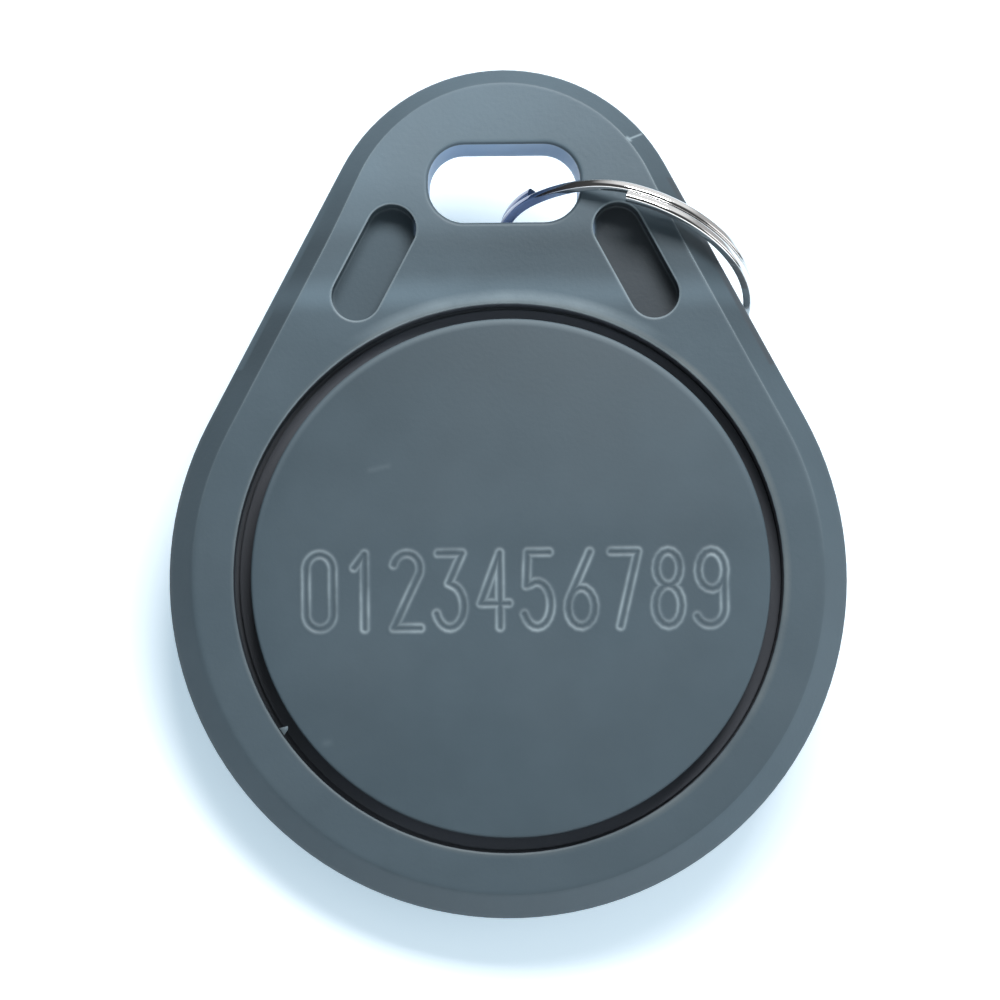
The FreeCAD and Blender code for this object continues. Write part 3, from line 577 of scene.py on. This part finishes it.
def build_lid():
    """The lid disc with its flange, edge and engraved face."""
    columns = np.arange(-GRID_HALF, GRID_HALF + GRID_STEP / 2, GRID_STEP)
    rows = np.arange(ROW_BOTTOM - GRID_MARGIN, ROW_BOTTOM + ROW_HEIGHT + GRID_MARGIN, GRID_STEP)
    top_radius = LID_RADIUS - LID_EDGE
    vertices = []
    faces = []

    grid_x, grid_y = np.meshgrid(columns, rows)
    heights, lips = engraving(grid_x, grid_y)
    pale = []
    row_starts = []
    for row, y in enumerate(rows):
        reach = math.sqrt(top_radius ** 2 - y * y)
        row_starts.append(len(vertices))
        vertices.append((-reach, y, FACE_HEIGHT))
        vertices.extend((x, y, FACE_HEIGHT + height)
                        for x, height in zip(columns, heights[row]))
        vertices.append((reach, y, FACE_HEIGHT))
        pale.extend([0.0, *lips[row], 0.0])
    width = len(columns) + 2
    for low, high in zip(row_starts, row_starts[1:]):
        for column in range(width - 1):
            faces.append((low + column, low + column + 1, high + column + 1, high + column))

    def rim_arc(start, end):
        """Vertices of the face's rim between two angles, both left out."""
        first = len(vertices)
        for index in range(1, ARC_STEPS):
            turn = start + (end - start) * index / ARC_STEPS
            vertices.append((top_radius * math.cos(turn), top_radius * math.sin(turn),
                             FACE_HEIGHT))
        return list(range(first, first + ARC_STEPS - 1))

    low_turn = math.asin(rows[0] / top_radius)
    high_turn = math.asin(rows[-1] / top_radius)
    upper = rim_arc(high_turn, math.pi - high_turn)
    lower = rim_arc(-math.pi - low_turn, low_turn)
    top_row = list(range(row_starts[-1], row_starts[-1] + width))
    bottom_row = list(range(row_starts[0], row_starts[0] + width))
    faces.append(tuple(top_row + upper))
    faces.append(tuple(bottom_row[::-1] + lower))
    rim = ([start + width - 1 for start in row_starts] + upper
           + row_starts[::-1] + lower)

    profile = [(LID_RADIUS - LID_EDGE * 0.5, FACE_HEIGHT - LID_EDGE * 0.13),
               (LID_RADIUS - LID_EDGE * 0.13, FACE_HEIGHT - LID_EDGE * 0.5),
               (LID_RADIUS, FACE_HEIGHT - LID_EDGE),
               (LID_RADIUS, FLANGE_TOP), (FLANGE_RADIUS, FLANGE_TOP),
               (FLANGE_RADIUS, LEDGE_HEIGHT)]
    last = rim
    for radius, level in profile:
        ring = []
        for index in rim:
            x, y, _ = vertices[index]
            share = radius / math.hypot(x, y)
            ring.append(len(vertices))
            vertices.append((x * share, y * share, level))
        for index in range(len(rim)):
            after = (index + 1) % len(rim)
            faces.append((last[after], last[index], ring[index], ring[after]))
        last = ring
    faces.append(tuple(reversed(last)))

    mesh = bpy.data.meshes.new("lid_face_engraved")
    mesh.from_pydata(vertices, [], faces)
    # The lips' paleness, a painted highlight, kept as an attribute.
    engraved = mesh.attributes.new("engraved", "FLOAT", "POINT")
    engraved.data.foreach_set("value", pale + [0.0] * (len(vertices) - len(pale)))
    mesh.transform(Matrix.Translation((LID_SHIFT, 0, 0)))
    mesh.transform(Matrix.Scale(MM, 4))
    mesh.transform(FOB)
    mesh.polygons.foreach_set("use_smooth", [True] * len(mesh.polygons))
    mesh.set_sharp_from_angle(angle=math.radians(35))
    lid = add_object("lid_engraved", mesh)
    paint(lid, LID_PLASTIC)
    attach(lid, "fob")
    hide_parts("lid_disc")


build_lid()


# Split ring, as in the frame: two turns of flat wire and the crossing between them

RING_RADIUS = 6.45
WIRE_WIDTH = 0.5
WIRE_HEIGHT = 0.44
WIRE_ROUND = 0.15
RING_LEVEL = 0.24
RING_START = 99.5
RING_CROSSING = 50.5
RING_STEPS = 900


def wire_outline():
    """Points round the wire's section, as distances from its middle outwards and upwards."""
    half_width, half_height = WIRE_WIDTH / 2, WIRE_HEIGHT / 2
    points = []
    for quarter, (side_x, side_z) in enumerate(((1, 1), (-1, 1), (-1, -1), (1, -1))):
        for step in range(7):
            turn = math.radians(90 * quarter + 15 * step)
            points.append((side_x * (half_width - WIRE_ROUND) + WIRE_ROUND * math.cos(turn),
                           side_z * (half_height - WIRE_ROUND) + WIRE_ROUND * math.sin(turn)))
    return points


def build_ring():
    """The wire's section carried round the joint's axis, from the lower turn to the upper."""
    joint = next(item for item in frame["record"]["behaviour"]["joints"]
                 if item["name"] == "ring_spin")
    axis = Vector(joint["axis"]).normalized()
    level_line = FOB.col[2].xyz.cross(axis).normalized()
    uphill = axis.cross(level_line)
    centre = Vector(joint["pos_m"])
    outline = wire_outline()
    turn_length = 360 - RING_CROSSING
    total = 2 * turn_length + RING_CROSSING
    middle = RING_RADIUS - WIRE_WIDTH / 2
    vertices = []
    faces = []
    for step in range(RING_STEPS + 1):
        travelled = total * step / RING_STEPS
        turn = math.radians(RING_START - travelled)
        share = min(max((travelled - turn_length) / RING_CROSSING, 0), 1)
        level = RING_LEVEL * math.cos(math.pi * share)
        outward = level_line * math.cos(turn) + uphill * math.sin(turn)
        for across, up in outline:
            vertices.append(centre + (outward * (middle + across) + axis * (level + up)) * MM)
    count = len(outline)
    for step in range(RING_STEPS):
        for index in range(count):
            after = (index + 1) % count
            low, high = step * count, (step + 1) * count
            faces.append((low + index, low + after, high + after, high + index))
    faces.append(tuple(reversed(range(count))))
    faces.append(tuple(RING_STEPS * count + index for index in range(count)))
    mesh = bpy.data.meshes.new("ring_turns")
    mesh.from_pydata(vertices, [], faces)
    mesh.polygons.foreach_set("use_smooth", [True] * len(mesh.polygons))
    mesh.set_sharp_from_angle(angle=math.radians(50))
    ring = add_object("ring_turns", mesh)
    paint(ring, NICKEL)
    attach(ring, "ring")
    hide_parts("split_ring")


build_ring()


# Speck of flash: its place round the lid, and its corners as reach and distance aside

FLAKE_TURN = math.radians(213.6)
FLAKE_LEVELS = (3.75, 3.97)
FLAKE_CORNERS = ((12.9, -0.2), (12.9, 0.22), (12.6, 0.1), (12.5, -0.04))


def build_flake():
    """A speck of moulding flash that stands out from the housing into the groove."""
    outward = Vector((math.cos(FLAKE_TURN), math.sin(FLAKE_TURN), 0))
    beside = Vector((-outward.y, outward.x, 0))
    corners = [outward * reach + beside * aside + Vector((0, 0, level))
               for level in FLAKE_LEVELS for reach, aside in FLAKE_CORNERS]
    mesh = bpy.data.meshes.new("flash_flake")
    mesh.from_pydata([FOB @ (corner * MM) for corner in corners], [],
                     [(3, 2, 1, 0), (4, 5, 6, 7), (0, 1, 5, 4), (1, 2, 6, 5), (2, 3, 7, 6),
                      (3, 0, 4, 7)])
    flake = add_object("flash_flake", mesh)
    paint(flake, FINISHES["body_shell"])
    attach(flake, "fob")


build_flake()


# Floor

FLOOR_COLOUR = (0.88, 0.90, 0.92)
FLOOR_GLOW_COLOUR = (0.62, 0.84, 1.0, 1)
FLOOR_GLOW = 0.52


def build_floor():
    """A pale floor whose faint glow only the camera and polished or clear surfaces see."""
    half = 0.6
    mesh = bpy.data.meshes.new("floor")
    mesh.from_pydata([(-half, -half, 0), (half, -half, 0), (half, half, 0), (-half, half, 0)],
                     [], [(0, 1, 2, 3)])
    floor = add_object("floor", mesh)
    material, tree, shader = new_material("floor_white", FLOOR_COLOUR)
    shader.inputs["Roughness"].default_value = 0.9
    shader.inputs["Specular IOR Level"].default_value = 0.1
    path = add_node(tree, "ShaderNodeLightPath")
    seen = combine(tree, "MAXIMUM", path.outputs["Is Transmission Ray"], combine(
        tree, "MAXIMUM", path.outputs["Is Camera Ray"], path.outputs["Is Glossy Ray"]))
    shader.inputs["Emission Color"].default_value = FLOOR_GLOW_COLOUR
    tree.links.new(remap(tree, seen, 0.0, 1.0, 0.0, FLOOR_GLOW),
                   shader.inputs["Emission Strength"])
    mesh.materials.append(material)


build_floor()


# Light. Panels: name, place in the fob's frame in millimetres, size in metres, and power.

PANELS = [("top_panel", (30, 100, 120), (0.09, 0.05), 0.24),
          ("side_panel", (150, -20, 60), (0.10, 0.10), 0.03),
          ("low_panel", (10, -150, 60), (0.20, 0.08), 0.075)]
FILL_COLOUR = (0.86, 0.95, 1.0, 1)
FILL_LEFT, FILL_RIGHT = 0.13, 0.50
DARK_ROOM = 0.08
BRIGHT_ENDS = [((0.27, 0.72, 0.64), 1.15), ((0.94, 0.10, 0.33), 0.6)]


def add_panel(name, place, size, power):
    """A soft rectangular white lamp that faces the fob."""
    data = bpy.data.lights.new(name, "AREA")
    data.shape = "RECTANGLE"
    data.size, data.size_y = size
    data.energy = power
    lamp = add_object(name, data)
    target = FOB @ Vector((0, 0.002, 0.003))
    position = FOB @ (Vector(place) * MM)
    lamp.matrix_world = (Matrix.Translation(position)
                         @ (position - target).to_track_quat("Z", "Y").to_matrix().to_4x4())


for panel in PANELS:
    add_panel(*panel)


def build_world():
    """A bluish fill, weaker from the left; polished surfaces see a dark room with bright ends."""
    world = bpy.data.worlds.new("studio")
    bpy.context.scene.world = world
    world.use_nodes = True
    tree = world.node_tree
    direction = add_node(tree, "ShaderNodeTexCoord").outputs["Generated"]
    split = add_node(tree, "ShaderNodeSeparateXYZ")
    tree.links.new(direction, split.inputs[0])
    fill = tree.nodes["Background"]
    fill.inputs["Color"].default_value = FILL_COLOUR
    tree.links.new(remap(tree, split.outputs["X"], -0.9, 0.6, FILL_LEFT, FILL_RIGHT),
                   fill.inputs["Strength"])
    room = add_node(tree, "ShaderNodeBackground")
    bright = 0.0
    for place, strength in BRIGHT_ENDS:
        toward = add_node(tree, "ShaderNodeVectorMath", operation="DOT_PRODUCT")
        tree.links.new(direction, toward.inputs[0])
        toward.inputs[1].default_value = place
        bright = combine(tree, "MAXIMUM", bright,
                         remap(tree, toward.outputs["Value"], 0.72, 0.90, DARK_ROOM, strength))
    tree.links.new(bright, room.inputs["Strength"])
    path = add_node(tree, "ShaderNodeLightPath")
    mix = add_node(tree, "ShaderNodeMixShader")
    tree.links.new(path.outputs["Is Glossy Ray"], mix.inputs[0])
    tree.links.new(fill.outputs[0], mix.inputs[1])
    tree.links.new(room.outputs[0], mix.inputs[2])
    tree.links.new(mix.outputs[0], tree.nodes["World Output"].inputs["Surface"])


build_world()


# Camera, from the photo's perspective of the housing. Distance and offset are in millimetres.

CAMERA_DISTANCE = 200.0
CAMERA_TILT = math.radians(-4.5)
CAMERA_YAW = math.radians(0.713)
CAMERA_ROLL = math.radians(0.668)
CAMERA_OFFSET = (0.36865, -3.92955)
CAMERA_LENS = 150.09


def build_camera():
    turn = (Matrix.Rotation(CAMERA_ROLL, 3, "Z") @ Matrix.Rotation(CAMERA_TILT, 3, "X")
            @ Matrix.Rotation(CAMERA_YAW, 3, "Y")).transposed()
    place = turn @ Vector((-CAMERA_OFFSET[0], -CAMERA_OFFSET[1], CAMERA_DISTANCE)) * MM
    data = bpy.data.cameras.new("camera")
    data.lens = CAMERA_LENS
    data.sensor_width = 36.0
    data.clip_start = 0.01
    camera = add_object("camera", data)
    camera.matrix_world = FOB @ Matrix.Translation(place) @ turn.to_4x4()
    bpy.context.scene.camera = camera


build_camera()
bpy.context.scene.view_settings.view_transform = "Standard"
